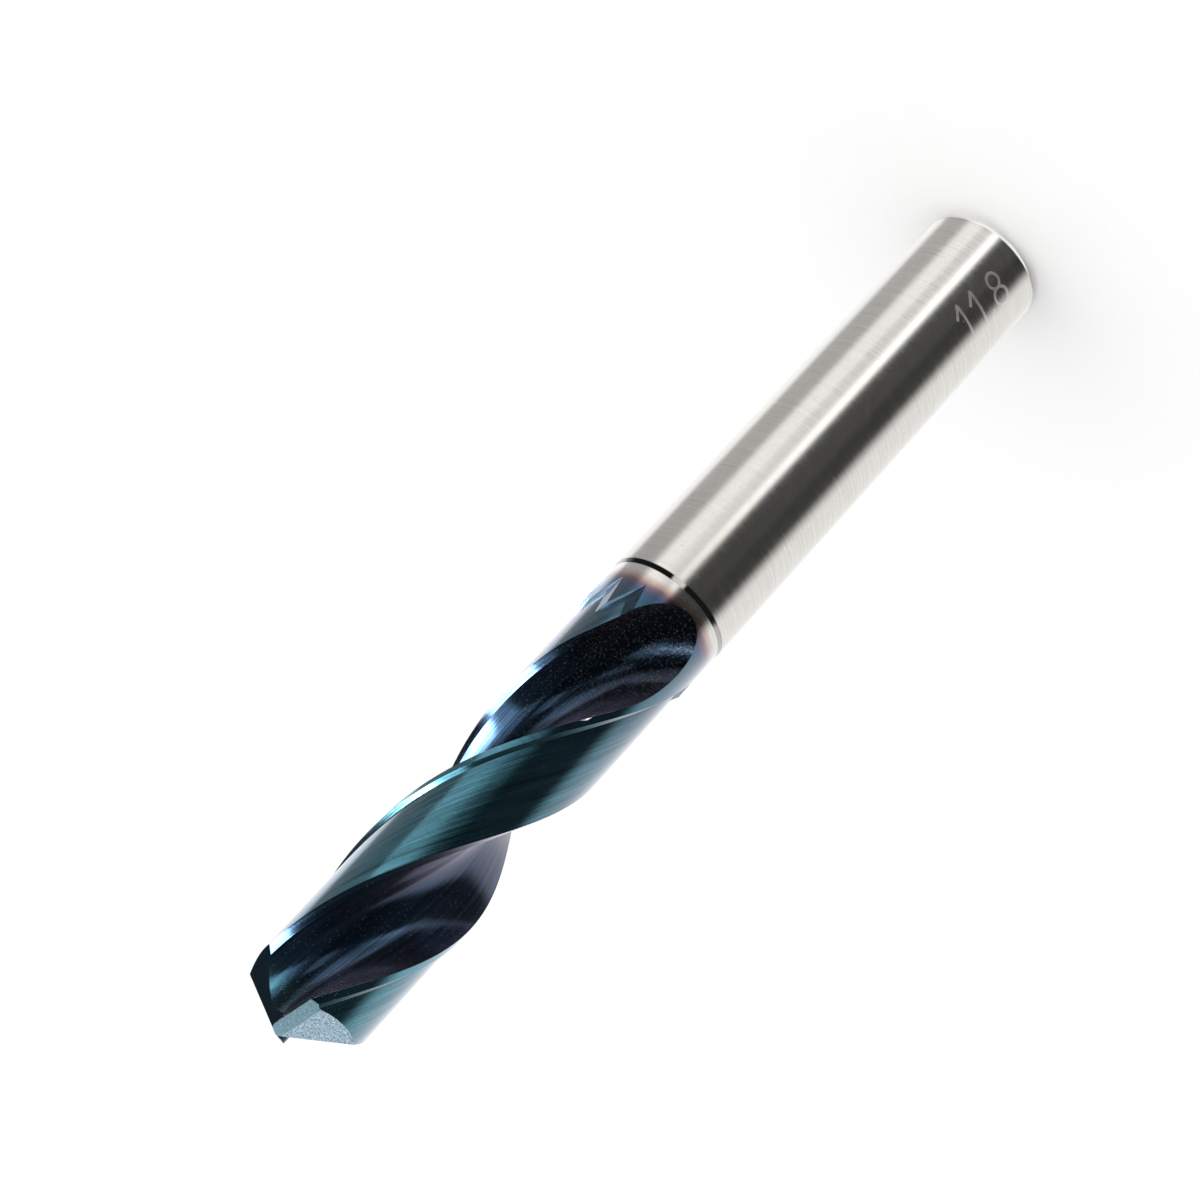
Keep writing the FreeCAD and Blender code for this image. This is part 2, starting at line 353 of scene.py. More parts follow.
class Wiring:
    """Adds nodes to a tree and joins their sockets."""

    def __init__(self, tree):
        self.tree = tree
        self.tree.nodes.clear()

    def feed(self, socket, value):
        """Gives a socket a plain value, an output or a list of outputs."""
        if isinstance(value, list):
            for item in value:
                self.feed(socket, item)
        elif isinstance(value, Value):
            self.tree.links.new(value.socket, socket)
        else:
            socket.default_value = value

    def add(self, kind, inputs=None, **settings):
        """A node with its settings and inputs."""
        node = self.tree.nodes.new(kind)
        for name, value in settings.items():
            setattr(node, name, value)
        for key, value in (inputs or {}).items():
            self.feed(node.inputs[key], value)
        return node

    def out(self, kind, inputs=None, output=0, **settings):
        """One output of a new node."""
        return Value(self, self.add(kind, inputs, **settings).outputs[output])

    def group(self, tree, inputs=None, **settings):
        """Output of a node group with its inputs."""
        return self.out(f"{self.tree.type.title()}NodeGroup", inputs, node_tree=tree, **settings)

    def result(self, value):
        """Makes a value the output of this group and returns its tree."""
        self.feed(self.add("NodeGroupOutput").inputs[0], value)
        return self.tree

    def math(self, operation, *values):
        """Result of a sum of numbers, or of vectors where it has one."""
        vectors = [v for v in values if isinstance(v, Value) and v.socket.type == "VECTOR"]
        kind = "ShaderNodeVectorMath" if vectors else "ShaderNodeMath"
        return self.out(kind, dict(enumerate(values)), operation=operation)

    def compare(self, operation, first, second):
        """Whether one number is less or greater than another."""
        inputs = {0: first, 1: second}
        return self.out("FunctionNodeCompare", inputs, operation=operation, data_type="FLOAT")

    def vector(self, x=0.0, y=0.0, z=0.0):
        """A vector from three numbers."""
        return self.out("ShaderNodeCombineXYZ", {0: x, 1: y, 2: z})

    def polar(self, radius, turn, height=0.0):
        """Point at a radius, an angle and a height."""
        return self.vector(radius * self.math("COSINE", turn), radius * self.math("SINE", turn), height)

    def parts(self, vector):
        """The three numbers of a vector."""
        return [Value(self, part) for part in self.add("ShaderNodeSeparateXYZ", {0: vector}).outputs]

    def scaled(self, vector, size):
        """A vector times a number."""
        return self.out("ShaderNodeVectorMath", {0: vector, "Scale": size}, operation="SCALE")

    def turned(self, vector, turn):
        """A vector turned about the drill's axis."""
        inputs = {"Vector": vector, "Angle": turn}
        return self.out("ShaderNodeVectorRotate", inputs, rotation_type="Z_AXIS")

    def place(self):
        """Place on the piece that a material reads."""
        return self.out("ShaderNodeTexCoord", output="Object")

    def noise(self, scale, detail, roughness=0.5, place=None):
        """Soft noise, around a half."""
        inputs = {"Scale": scale, "Detail": detail, "Roughness": roughness}
        if place is not None:
            inputs["Vector"] = place
        return self.out("ShaderNodeTexNoise", inputs)

    def moved(self, mesh, place=(0.0, 0.0, 0.0), turn=(0.0, 0.0, 0.0)):
        """A mesh turned and put in its place."""
        inputs = {"Geometry": mesh, "Translation": place, "Rotation": turn}
        return self.out("GeometryNodeTransform", inputs)

    def painted(self, mesh, material, where=True):
        """A mesh with a material on some or all of its faces."""
        inputs = {"Geometry": mesh, "Selection": where, "Material": material}
        return self.out("GeometryNodeSetMaterial", inputs)

    def merged(self, mesh, distance):
        """A mesh with one point where several lie within a distance."""
        return self.out("GeometryNodeMergeByDistance", {"Geometry": mesh, "Distance": distance})

    def closed(self, shells):
        """Closed cutter or blank from its open shells."""
        return self.merged(self.out("GeometryNodeJoinGeometry", {0: shells}), CUTTER_MERGE)

    def boolean(self, operation, meshes, first=None):
        """What meshes have in common, or what they leave of a first one."""
        inputs = {"Mesh 2": meshes}
        if first is not None:
            inputs["Mesh 1"] = first
        return self.out("GeometryNodeMeshBoolean", inputs, operation=operation, solver="MANIFOLD")


GEOMETRY_TREE = "GeometryNodeTree"
SHADER_TREE = "ShaderNodeTree"
FLOAT = "NodeSocketFloat"
WHOLE = "NodeSocketInt"
VECTOR = "NodeSocketVector"
COLOUR = "NodeSocketColor"
OBJECT = "NodeSocketObject"
GEOMETRY = "NodeSocketGeometry"
MATERIAL = "NodeSocketMaterial"


def new_group(name, kind, inputs, output, output_type):
    """A node group with one output. Returns its wiring and its inputs by name.

    Each input comes with its default, or with its kind of socket where it has none.
    """
    tree = bpy.data.node_groups.new(name, kind)
    for label, default in inputs.items():
        if isinstance(default, str):
            tree.interface.new_socket(label, in_out="INPUT", socket_type=default)
        else:
            number = WHOLE if isinstance(default, int) else FLOAT
            tree.interface.new_socket(label, in_out="INPUT", socket_type=number).default_value = default
    tree.interface.new_socket(output, in_out="OUTPUT", socket_type=output_type)
    wires = Wiring(tree)
    sockets = wires.add("NodeGroupInput").outputs
    return wires, {socket.name: Value(wires, socket) for socket in sockets}


# Inputs of a helical cutter: its twist, and the arc along which the wheel lifts out below a height
HELIX = {"Twist": 0.0, "Zero height": 0.0, "Lift start": 0.0, "Lift radius": 1.0, "Lift direction": 0.0}


def section_group():
    """Node group that turns and lifts points of an outline to their place in a helical cutter."""
    inputs = {"Point": VECTOR, "Height": 0.0, **HELIX}
    wires, given = new_group("Helical section", GEOMETRY_TREE, inputs, "Position", VECTOR)
    height = given["Height"]
    radius = given["Lift radius"]
    below = wires.math("MAXIMUM", given["Lift start"] - height, 0.0)
    lift = radius - wires.math("SQRT", radius * radius - below * below)
    lifted = given["Point"] + wires.polar(lift, given["Lift direction"])
    turned = wires.turned(lifted, given["Twist"] * (height - given["Zero height"]))
    return wires.result(turned + wires.vector(z=height))


def sweep_group():
    """Node group that sweeps a closed outline up a helix to a closed cutter."""
    inputs = {"Outline": GEOMETRY, "Low": 0.0, "High": 1.0, "Sections": 2, "Material": MATERIAL, **HELIX}
    wires, given = new_group("Helical cutter", GEOMETRY_TREE, inputs, "Cutter", GEOMETRY)
    outline = given["Outline"]
    low = given["Low"]
    high = given["High"]
    sections = given["Sections"]
    section = section_group()

    def placed(mesh, point, height):
        inputs = {"Point": point, "Height": height, **{name: given[name] for name in HELIX}}
        place = wires.group(section, inputs)
        return wires.out("GeometryNodeSetPosition", {"Geometry": mesh, "Position": place})

    number = wires.out("GeometryNodeAttributeDomainSize", {0: outline}, "Point Count", component="MESH")
    side = wires.out("GeometryNodeMeshGrid", {"Vertices X": number + 1.0, "Vertices Y": sections})
    index = wires.out("GeometryNodeInputIndex")
    column = wires.math("FLOOR", (index + 0.5) / sections)
    row = index - column * sections
    column = wires.math("ROUND", wires.math("MODULO", column, number))
    own = wires.out("GeometryNodeInputPosition")
    inputs = {0: outline, "Value": own, "Index": column}
    point = wires.out("GeometryNodeSampleIndex", inputs, data_type="FLOAT_VECTOR")
    height = low + (high - low) * (row / (sections - 1.0))
    curve = wires.out("GeometryNodeMeshToCurve", {"Mesh": outline})
    cap = wires.out("GeometryNodeFillCurve", {"Curve": curve}, mode="NGONS")
    bottom = wires.out("GeometryNodeFlipFaces", {"Mesh": placed(cap, own, low)})
    closed = wires.closed([placed(side, point, height), placed(cap, own, high), bottom])
    return wires.result(wires.painted(closed, given["Material"]))


def flat_group():
    """Node group for a grinding flat: a block that takes away all that stands proud of a plane."""
    inputs = {"Point": VECTOR, "Outward": VECTOR, "Size": 1.0, "Material": MATERIAL}
    wires, given = new_group("Ground flat", GEOMETRY_TREE, inputs, "Cutter", GEOMETRY)
    size = given["Size"]
    cube = wires.out("GeometryNodeMeshCube", {"Size": wires.vector(size, size, size)})
    lifted = wires.moved(cube, wires.vector(z=size * 0.5))
    lean = wires.out("FunctionNodeAlignRotationToVector", {"Vector": given["Outward"]}, axis="Z")
    return wires.result(wires.painted(wires.moved(lifted, given["Point"], lean), given["Material"]))


def stop_group():
    """Node group for the stock that a land pass leaves where its wheel stops."""
    sizes = dict.fromkeys(("Angle", "Radius", "Height", "Tilt", "Reach"), 0.0)
    inputs = {"Band": GEOMETRY, **sizes, "Material": MATERIAL, "Wall material": MATERIAL}
    wires, given = new_group("Wheel stop", GEOMETRY_TREE, inputs, "Stock", GEOMETRY)
    reach = given["Reach"]
    half = reach * -0.5
    cube = wires.out("GeometryNodeMeshCube", {"Size": wires.vector(reach, reach, reach * 2.0)})
    foot = wires.polar(given["Radius"], given["Angle"], given["Height"])
    lean = wires.vector(y=-given["Tilt"], z=given["Angle"])
    placed = wires.moved(wires.moved(cube, wires.vector(half, half)), foot, lean)
    stock = wires.painted(wires.boolean("INTERSECT", [given["Band"], placed]), given["Material"])
    x, y = wires.parts(wires.out("GeometryNodeInputPosition"))[:2]
    inputs = {0: wires.math("NORMALIZE", wires.vector(x, y)), 1: wires.out("GeometryNodeInputNormal")}
    facing = wires.out("ShaderNodeVectorMath", inputs, "Value", operation="DOT_PRODUCT")
    wall = wires.compare("LESS_THAN", wires.math("ABSOLUTE", facing), WALL_FACING)
    return wires.result(wires.painted(stock, given["Wall material"], wall))


BLANK_SIZES = ("Shank radius", "Body radius", "End chamfer", "Shoulder", "Shoulder bevel", "Top")


def blank_group():
    """Node group for the turned blank: shank with a chamfered end, shoulder bevel and round body."""
    inputs = {**dict.fromkeys(BLANK_SIZES, 0.0), "Blank segments": 8}
    wires, given = new_group("Turned blank", GEOMETRY_TREE, inputs, "Blank", GEOMETRY)
    shank, body, chamfer, shoulder, bevel, top = (given[name] for name in BLANK_SIZES)
    sides = given["Blank segments"]
    end = shank - chamfer
    stations = [(0.0, end), (chamfer, shank), (shoulder, shank), (shoulder + bevel, body), (top, body)]
    shells = []
    for (low, low_radius), (high, high_radius) in zip(stations, stations[1:]):
        radii = {"Radius Bottom": low_radius, "Radius Top": high_radius}
        inputs = {"Vertices": sides, "Depth": high - low, **radii}
        shell = wires.out("GeometryNodeMeshCone", inputs, fill_type="NONE")
        shells.append(wires.moved(shell, wires.vector(z=low)))
    foot, head = (
        wires.out("GeometryNodeMeshCircle", {"Vertices": sides, "Radius": radius}, fill_type="NGON")
        for radius in (end, body)
    )
    shells.append(wires.out("GeometryNodeFlipFaces", {"Mesh": foot}))
    shells.append(wires.moved(head, wires.vector(z=top)))
    return wires.result(wires.closed(shells))


def outline_object(name, points):
    """A closed line of points that a cutter is swept from."""
    mesh = bpy.data.meshes.new(name)
    last = len(points) - 1
    edges = [(i, i + 1) for i in range(last)] + [(last, 0)]
    mesh.from_pydata([tuple(point) for point in points], edges, [])
    outline = bpy.data.objects.new(name, mesh)
    bpy.context.scene.collection.objects.link(outline)
    return outline


def size_inputs(shape):
    """Value of each size that the drill's tree takes, by the name of its input."""
    sizes = shape.sizes
    own = (
        "overall_length", "end_chamfer", "shoulder_bevel", "flute_end", "runout_start",
        "runout_radius", "runout_direction", "land_runout", "land_blend", "stop_depth", "wheel_tilt",
        "lip_ahead", "primary_width", "thinning_drop", "chip_height", "chip_length", "chip_depth",
        "section_step", "blank_segments",
    )
    return {
        **{sizes.bl_rna.properties[key].name: getattr(sizes, key) for key in own},
        "Shank radius": sizes.shank_diameter / 2,
        "Body radius": shape.body_radius,
        "Shoulder": shape.shoulder,
        "Top": shape.top,
        "Twist": shape.twist,
        "Corner height": shape.corner_height,
        "Corner angle": shape.corner_angle,
        "Lip slope": shape.lip_slope,
        "Primary slope": shape.primary_slope,
        "Secondary slope": math.tan(sizes.secondary_clearance),
        "Thinning fall": math.tan(sizes.thinning_fall),
        "Thinning drift": math.tan(sizes.thinning_drift),
    }


OUTLINES = ("Flute outline", "Land outline", "Thinning outline")
MATERIALS = (
    "Shank", "Neck", "Land", "Pass wall", "Flute", "Primary facet", "Secondary facet", "Thinning face",
    "Chip",
)


class DrillTree:
    """Geometry Nodes tree that grinds the whole drill from its blank."""

    def __init__(self, shape, stops):
        inputs = {**size_inputs(shape), **dict.fromkeys(OUTLINES, OBJECT)}
        for number, stop in enumerate(stops, 1):
            inputs[f"Pass {number} outline"] = OBJECT
            inputs[f"Pass {number} stop"] = stop
        inputs.update(dict.fromkeys(MATERIALS, MATERIAL))
        self.wires, self.given = new_group("Ground drill", GEOMETRY_TREE, inputs, "Drill", GEOMETRY)
        self.passes = range(1, len(stops) + 1)
        self.sweep = sweep_group()
        self.flat = flat_group()
        self.shoulder = self.given["Shoulder"]
        self.body = self.given["Body radius"]
        self.tip = self.given["Overall length"]

    def swept(self, name, low, high, material, straight=False, lift=None):
        """Cutter swept from an outline between two heights, along the helix or straight up."""
        wires, given = self.wires, self.given
        inputs = {
            "Outline": wires.out("GeometryNodeObjectInfo", {"Object": given[name]}, "Geometry"),
            "Low": low,
            "High": high,
            "Material": given[material],
        }
        if not straight:
            inputs["Twist"] = given["Twist"]
            inputs["Zero height"] = given["Corner height"]
            inputs["Sections"] = wires.math("CEIL", (high - low) / given["Section step"]) + 1.0
        return wires.group(self.sweep, {**inputs, **(lift or {})})

    def above(self, level, slope_x, slope_y, material, y=0.0):
        """Block above a plane that passes the axis, or a line beside it, at a level."""
        wires = self.wires
        inputs = {
            "Point": wires.vector(y=y, z=level),
            "Outward": wires.vector(slope_x, slope_y, 1.0),
            "Size": self.body * FLAT_SIZE,
            "Material": self.given[material],
        }
        return wires.group(self.flat, inputs)

    def edge_turn(self, height):
        """Where the leading edge of the first margin is around the drill at a height."""
        given = self.given
        return given["Corner angle"] + given["Twist"] * (height - given["Corner height"])

    def flute(self):
        """Flute cutter, which lifts out of the body above the shoulder."""
        given = self.given
        lift = {
            "Lift start": self.shoulder + given["Run-out start"],
            "Lift radius": given["Run-out radius"],
            "Lift direction": given["Run-out direction"],
        }
        low = self.shoulder + given["Flute end"]
        return self.swept("Flute outline", low, given["Top"], "Flute", lift=lift)

    def land(self):
        """Cutter that clears the land, less the stock that each pass leaves where it stops."""
        given = self.given
        runout = given["Land run-out"]
        band = self.swept("Land outline", self.shoulder + runout * LAND_START, given["Top"], "Land")
        low = self.shoulder + runout * PASS_START
        blend = self.shoulder + given["Land blend"]
        height = self.shoulder + runout
        edge = self.edge_turn(height)
        stop = stop_group()
        stocks = []
        for number in self.passes:
            inputs = {
                "Band": self.swept(f"Pass {number} outline", low, blend, "Land"),
                "Angle": edge - given[f"Pass {number} stop"],
                "Radius": self.body - given["Stop depth"],
                "Height": height,
                "Tilt": given["Wheel tilt"],
                "Reach": self.body * STOP_REACH,
                "Material": given["Land"],
                "Wall material": given["Pass wall"],
            }
            stocks.append(self.wires.group(stop, inputs))
        return self.wires.boolean("DIFFERENCE", stocks, band)

    def point(self):
        """Thinning and both clearance facets of one cutting edge."""
        wires, given, tip = self.wires, self.given, self.tip
        slope = given["Lip slope"]
        rise = given["Primary slope"]
        primary = self.above(tip, slope, -rise, "Primary facet")
        crease = given["Lip ahead"] - given["Primary width"]
        level = tip + crease * rise
        secondary = self.above(level, slope, -given["Secondary slope"], "Secondary facet", crease)
        low = tip - self.body * NOTCH_REACH
        notch = self.swept("Thinning outline", low, tip + self.body, "Thinning face", straight=True)
        level = tip - given["Thinning drop"]
        face = self.above(level, given["Thinning drift"], given["Thinning fall"], "Thinning face")
        thinning = wires.painted(wires.boolean("INTERSECT", [notch, face]), given["Thinning face"])
        return thinning, primary, secondary

    def chip(self):
        """Jagged ball that breaks a chip out of the second margin, square to its leading edge."""
        wires, given = self.wires, self.given
        span = given["Chip length"]
        depth = given["Chip depth"]
        radius = (span * span * 0.25 + depth * depth) / (depth * 2.0)
        helix = wires.math("ARCTANGENT", given["Twist"] * self.body)
        off = (radius - depth) * math.sqrt(0.5)
        aside = off * wires.math("COSINE", helix)
        down = -(off * wires.math("SINE", helix))
        height = self.shoulder + given["Chip height"]
        turn = self.edge_turn(height) + HALF_TURN
        centre = wires.polar(self.body + off, turn, height) + wires.polar(aside, turn + QUARTER_TURN, down)
        ball = wires.out("GeometryNodeMeshIcoSphere", {"Radius": radius, "Subdivisions": 6})
        breaks = wires.noise(BREAKS_PER_METRE, 2.0, 0.6) - BREAK_LEVEL
        jag = wires.scaled(wires.out("GeometryNodeInputNormal"), breaks * (depth * BREAK_DEPTH))
        jagged = wires.out("GeometryNodeSetPosition", {"Geometry": ball, "Offset": jag})
        return wires.painted(wires.moved(jagged, centre), given["Chip"])

    def build(self):
        """Tree of the ground drill, turned so that its first cutting edge points along -Y."""
        wires, given = self.wires, self.given
        blank = wires.group(blank_group(), {name: given[name] for name in (*BLANK_SIZES, "Blank segments")})
        blank = wires.painted(blank, given["Shank"])
        half = (self.land(), self.flute(), *self.point())
        cutters = [wires.moved(mesh, turn=(0.0, 0.0, turn)) for turn in (0.0, HALF_TURN) for mesh in half]
        drill = wires.boolean("DIFFERENCE", [*cutters, self.chip()], blank)
        drill = wires.merged(drill, DRILL_MERGE)
        bend = wires.out("GeometryNodeInputMeshEdgeAngle", output="Unsigned Angle")
        soft = wires.compare("LESS_THAN", bend, SMOOTH_BEND)
        drill = wires.out("GeometryNodeSetShadeSmooth", {"Geometry": drill}, domain="FACE")
        inputs = {"Geometry": drill, "Shade Smooth": soft}
        drill = wires.out("GeometryNodeSetShadeSmooth", inputs, domain="EDGE")
        drill = wires.moved(drill, turn=(0.0, 0.0, -QUARTER_TURN))
        drill = wires.out("GeometryNodeRealizeInstances", {"Geometry": drill})
        round_face = wires.out("GeometryNodeMaterialSelection", {"Material": given["Shank"]})
        height = wires.parts(wires.out("GeometryNodeInputPosition"))[2]
        on_body = wires.compare("GREATER_THAN", height, self.shoulder)
        neck = wires.out("FunctionNodeBooleanMath", {0: round_face, 1: on_body}, operation="AND")
        return wires.result(wires.painted(drill, given["Neck"], neck))


def plain_mesh(carrier):
    """Mesh that an object's modifiers or bevel make. The object itself is removed."""
    bpy.context.scene.collection.objects.link(carrier)
    graph = bpy.context.evaluated_depsgraph_get()
    mesh = bpy.data.meshes.new_from_object(carrier.evaluated_get(graph))
    name = carrier.name
    bpy.data.batch_remove([carrier, carrier.data])
    mesh.name = name
    return mesh


def baked_mesh(name, tree, values):
    """Plain mesh that a Geometry Nodes tree makes from the given values of its inputs."""
    carrier = bpy.data.objects.new(name, bpy.data.meshes.new(name))
    modifier = carrier.modifiers.new(tree.name, "NODES")
    modifier.node_group = tree
    for item in tree.interface.items_tree:
        if item.in_out == "INPUT" and item.name in values:
            modifier[item.identifier] = values[item.name]
    mesh = plain_mesh(carrier)
    if mesh.materials[0] is None:
        mesh.materials.pop(index=0)
    return mesh


class DRILL_PG_finish(bpy.types.PropertyGroup):
    """Colours of the carbide and its coating."""

    bare: colour("Bare carbide", (0.70, 0.685, 0.645), "Ground carbide without a coating")
    peach: colour("Peach tint", (0.54, 0.41, 0.35), "Outer ring of the coating's edge")
    mauve: colour("Mauve tint", (0.18, 0.12, 0.16), "Middle ring of the coating's edge")
    blue: colour("Blue tint", (0.055, 0.09, 0.16), "Inner ring of the coating's edge")
    neck: colour("Coating at the neck", (0.035, 0.10, 0.15), "Coating above the shoulder")
    middle: colour("Coating in the middle", (0.065, 0.18, 0.24), "Coating half way up the body")
    point: colour("Coating at the point", (0.09, 0.27, 0.345), "Coating of the point")
    sheen: colour("Sheen of the lands", (0.75, 0.76, 0.85), "Coating seen at a low angle")
    primary: colour("First facet", (0.12, 0.24, 0.30), "Finely ground first facet of the point")
    facet: colour("Second facet", (0.19, 0.31, 0.385), "Coarsely ground second facet of the point")
    flute: colour("Flute", (0.014, 0.030, 0.053), "Coating in the flutes")
    flute_sheen: colour("Sheen of the flutes", (0.38, 0.35, 0.46), "Flute seen at a low angle")
    # The pass wall's tint is paler than the coating: partly the rougher ground wall, partly a painted
    # highlight of its edge.
    wall: colour("Pass wall", (0.27, 0.38, 0.47), "Steps between the grinding passes")
    grain: colour("Broken carbide", (0.68, 0.67, 0.65), "Fresh break in the margin")
    etching: colour("Etching", (0.95, 0.89, 0.87), "Strokes of the size number")


# Tints of the coating by their height above the shoulder in millimetres
RINGS = (
    (1.0, "bare"), (1.6, "peach"), (2.15, "mauve"), (2.75, "blue"), (4.2, "neck"), (14.0, "middle"),
    (38.0, "point"),
)

# Facets of the point: tint, tint at a low angle, roughness, turn of the grinding lines, lines across and
# along in a metre, depth of the lines in millimetres, and contrast
FACETS = {
    "Primary facet": ("primary", "sheen", 0.2, 0.3, 5000.0, 3000.0, 0.001, 0.3),
    "Secondary facet": ("facet", "sheen", 0.25, 0.9, 6500.0, 5000.0, 0.04, 0.8),
    "Thinning face": ("flute", "neck", 0.22, -0.6, 9000.0, 300.0, 0.003, 0.3),
}

BLACK = (0.0, 0.0, 0.0)
STAIN = (0.42, 0.38, 0.33)
DARK_SPECK = (0.01, 0.012, 0.015)
BRIGHT_SPECK = (0.055, 0.05, 0.042)

# Grinding lines and wider streaks in a metre, across and up the drill
RING_LINES = (150.0, 9000.0)
LAND_LINES = (6000.0, 120.0)
LAND_STREAKS = (1800.0, 50.0)
FLUTE_LINES = (5000.0, 70.0)
FLUTE_STREAKS = (1600.0, 25.0)

# Specks in a metre, size of a speck over their distance, and grains of the carbide in a metre
SHANK_SPECKS = 5200.0
LAND_SPECKS = 6000.0
FLUTE_SPECKS = 8500.0
SPECK_SIZE = 0.35
GRAINS_PER_METRE = 1 / (0.001 * MM)


def lines_group():
    """Shader group for grinding lines along the helix, or around the drill where it has no twist."""
    inputs = {"Twist": 0.0, "Across": 8000.0, "Up": 60.0}
    wires, given = new_group("Grinding lines", SHADER_TREE, inputs, "Lines", FLOAT)
    place = wires.place()
    straight = wires.turned(place, -(wires.parts(place)[2] * given["Twist"]))
    stretched = straight * wires.vector(given["Across"], given["Across"], given["Up"])
    return wires.result(wires.noise(1.0, 3.0, 0.6, stretched))


def facet_group():
    """Shader group for the straight grinding lines of a facet of the point."""
    inputs = {"Turn": 0.0, "Across": 8000.0, "Along": 300.0}
    wires, given = new_group("Facet lines", SHADER_TREE, inputs, "Lines", FLOAT)
    turned = wires.turned(wires.place(), given["Turn"])
    stretched = turned * wires.vector(given["Along"], given["Across"], given["Along"])
    return wires.result(wires.noise(1.0, 4.0, 0.65, stretched))


def specks_group():
    """Shader group for scattered specks, as on a coating."""
    wires, given = new_group("Specks", SHADER_TREE, {"Scale": 3000.0, "Share": 0.1}, "Mask", FLOAT)
    inputs = {"Vector": wires.place(), "Scale": given["Scale"]}
    spots = wires.add("ShaderNodeTexVoronoi", inputs).outputs
    pick = wires.parts(Value(wires, spots["Color"]))[0]
    chosen = wires.math("LESS_THAN", pick, given["Share"])
    core = wires.math("LESS_THAN", Value(wires, spots["Distance"]), SPECK_SIZE)
    return wires.result(chosen * core)


def coating_group(shape, tints):
    """Shader group for the coating's colour by height: a tinted edge, then bluer at the neck."""
    inputs = {"Shoulder": shape.shoulder, "Height": shape.sizes.body_length, "Ripple": 0.2 * MM}
    wires, given = new_group("Coating by height", SHADER_TREE, inputs, "Colour", COLOUR)
    place = wires.place()
    above = wires.parts(place)[2] - given["Shoulder"]
    ripple = (wires.noise(350.0, 3.0, place=place) - 0.5) * (given["Ripple"] * 4.0)
    ramp = wires.add("ShaderNodeValToRGB", {0: (above + ripple) / given["Height"]})
    stops = ramp.color_ramp.elements
    while len(stops) < len(RINGS):
        stops.new(0.5)
    for stop, (height, tint) in zip(stops, RINGS):
        stop.position = height * MM / shape.sizes.body_length
        stop.color = (*tints[tint], 1.0)
    return wires.result(Value(wires, ramp.outputs[0]))


def grain_group():
    """Shader group for the grain of bare carbide."""
    wires, given = new_group("Carbide grain", SHADER_TREE, {"Scale": GRAINS_PER_METRE}, "Grain", FLOAT)
    return wires.result(wires.noise(given["Scale"], 2.0, place=wires.place()))


def shade(tint, part):
    """A darker or paler tint."""
    return tuple(value * part for value in tint)


class Metal(Wiring):
    """A metal material with its wiring."""

    def __init__(self, name, roughness, shown):
        self.material = bpy.data.materials.new(name)
        self.material.use_nodes = True
        self.material.diffuse_color = (*shown, 1.0)
        super().__init__(self.material.node_tree)
        self.shader = self.add("ShaderNodeBsdfPrincipled", {"Metallic": 1.0, "Roughness": roughness})
        out = self.add("ShaderNodeOutputMaterial")
        self.feed(out.inputs["Surface"], Value(self, self.shader.outputs[0]))

    def give(self, values):
        """Feeds the shader's sockets by name."""
        for name, value in values.items():
            self.feed(self.shader.inputs[name], value)

    def mixed(self, share, first, second):
        """Colour between two colours."""
        first, second = (tone if isinstance(tone, Value) else (*tone, 1.0) for tone in (first, second))
        return self.out("ShaderNodeMix", {"Factor": share, 6: first, 7: second}, 2, data_type="RGBA")

    def ranged(self, value, low, high, start, end):
        """A value taken from one range to another and held at its ends."""
        inputs = {"Value": value, "From Min": low, "From Max": high, "To Min": start, "To Max": end}
        return self.out("ShaderNodeMapRange", inputs)

    def low_angle(self, tone, sheen, power):
        """The coating's colour, paler where it is seen at a low angle."""
        facing = self.out("ShaderNodeLayerWeight", {"Blend": 0.5}, "Facing")
        return self.mixed(self.math("POWER", facing, power), tone, sheen)

    def grooves(self, height, depth):
        """Bump from grinding lines or grain."""
        self.give({"Normal": self.out("ShaderNodeBump", {"Height": height, "Distance": depth})})


def grainy(name, roughness, tint, depth):
    """Bare carbide that shows its grain."""
    metal = Metal(name, roughness, tint)
    metal.give({"Base Color": (*tint, 1.0)})
    tree = bpy.data.node_groups.get("Carbide grain") or grain_group()
    metal.grooves(metal.group(tree), depth)
    return metal.material


